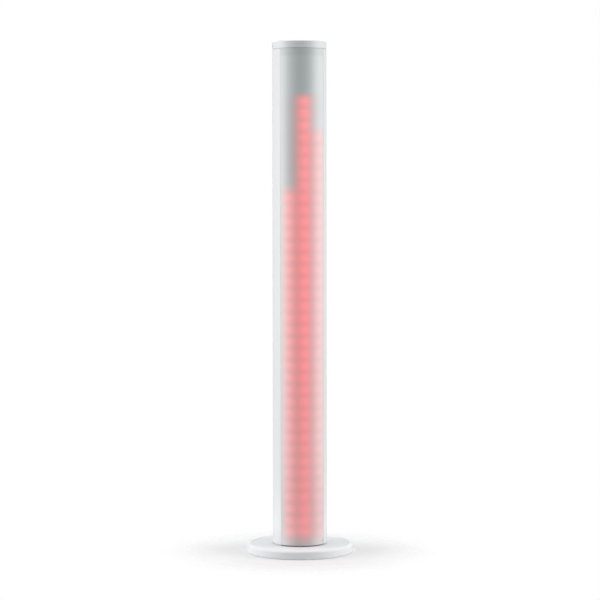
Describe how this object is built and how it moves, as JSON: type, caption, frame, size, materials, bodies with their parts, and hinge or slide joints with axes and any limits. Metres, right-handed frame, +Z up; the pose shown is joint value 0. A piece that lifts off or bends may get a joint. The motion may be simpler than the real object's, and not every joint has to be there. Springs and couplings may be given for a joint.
{
  "type": "led light column",
  "caption": "Free-standing white light column with a frosted front showing lit LED level bars, on a round weighted base, with a socket and button panel low in its back.",
  "frame": {"origin": "middle of the floor under the round base", "axes": "+Z up along the tube, -Y towards the front that the diffuser faces, +Y towards the control panel in the back"},
  "size_m": [0.214, 0.214, 1.04],
  "materials": {
    "housing_white": "gloss white moulded and extruded plastic",
    "diffuser_frost": "frosted milky plastic with a smooth outer face",
    "cap_white": "gloss white",
    "base_white": "gloss white",
    "weight_steel": "dark painted steel plate",
    "rubber_black": "matte",
    "black_plastic": "fine texture",
    "inner_plastic": "natural nylon",
    "panel_plastic": "fine spark texture",
    "screw_zinc": "zinc plated",
    "screw_black": "black oxide",
    "aluminium": "mill finish",
    "board_white": "white solder mask",
    "board_green": "green solder mask",
    "led_red": "lit LED packages",
    "contact_brass": "bright",
    "latch_steel": "pressed steel tab",
    "display_smoked": "smoked window",
    "button_rubber": "grey key cap",
    "component_black": "component bodies",
    "capacitor_sleeve": "shrink sleeve",
    "fuse_glass": "glass fuse in its clips",
    "wire_sleeve": "wire insulation"
  },
  "bodies": {
    "column": {"base_cover": "base_white", "weight_plate": "weight_steel", "rubber_feet": "rubber_black", "base_screws": "screw_zinc", "weight_screws": "screw_zinc", "bottom_cap": "black_plastic", "rear_housing": "housing_white", "front_diffuser": "diffuser_frost", "diffuser_lock_screw": "screw_zinc", "top_ring": "inner_plastic", "ring_screws": "screw_zinc", "top_cap": "cap_white", "cap_screws": "screw_zinc", "led_carrier": "aluminium", "carrier_screws": "screw_zinc", "led_board_1": "board_white", "led_board_2": "board_white", "led_board_3": "board_white", "led_board_4": "board_white", "board_spacers": "inner_plastic", "board_screws": "screw_zinc", "board_links": "inner_plastic", "leds_left": "led_red", "leds_centre": "led_red", "leds_right": "led_red", "control_panel": "panel_plastic", "panel_screws": "screw_black", "power_inlet": "black_plastic", "inlet_pins": "contact_brass", "data_input_socket": "black_plastic", "data_input_pins": "contact_brass", "data_output_socket": "black_plastic", "data_output_insert": "black_plastic", "data_output_contacts": "contact_brass", "socket_screws": "screw_black", "panel_board": "board_green", "panel_board_screws": "screw_zinc", "button_switches": "component_black", "display_window": "display_smoked", "display_module": "component_black", "microphone": "component_black", "circuit_standoffs": "inner_plastic", "supply_board": "board_green", "insulating_sheet": "inner_plastic", "transformer": "component_black", "supply_capacitors": "capacitor_sleeve", "supply_heatsink": "aluminium", "mains_choke": "component_black", "mains_fuse": "fuse_glass", "controller_board": "board_green", "controller_chips": "component_black", "mains_leads": "wire_sleeve", "supply_leads": "wire_sleeve", "signal_leads": "wire_sleeve"},
    "menu_button": {"button_menu": "button_rubber"},
    "down_button": {"button_down": "button_rubber"},
    "up_button": {"button_up": "button_rubber"},
    "enter_button": {"button_enter": "button_rubber"},
    "latch": {"output_latch": "latch_steel"}
  },
  "joints": [
    {"name": "menu_press", "type": "slide", "parent": "column", "child": "menu_button", "axis": [0, -1, 0], "range_m": [0, 0.0009], "stiffness_N_per_m": 500, "springref_m": -0.0006},
    {"name": "down_press", "type": "slide", "parent": "column", "child": "down_button", "axis": [0, -1, 0], "range_m": [0, 0.0009], "stiffness_N_per_m": 500, "springref_m": -0.0006},
    {"name": "up_press", "type": "slide", "parent": "column", "child": "up_button", "axis": [0, -1, 0], "range_m": [0, 0.0009], "stiffness_N_per_m": 500, "springref_m": -0.0006},
    {"name": "enter_press", "type": "slide", "parent": "column", "child": "enter_button", "axis": [0, -1, 0], "range_m": [0, 0.0009], "stiffness_N_per_m": 500, "springref_m": -0.0006},
    {"name": "latch_press", "type": "slide", "parent": "column", "child": "latch", "axis": [0, -1, 0], "range_m": [0, 0.0016], "stiffness_N_per_m": 400, "springref_m": -0.001}
  ]
}
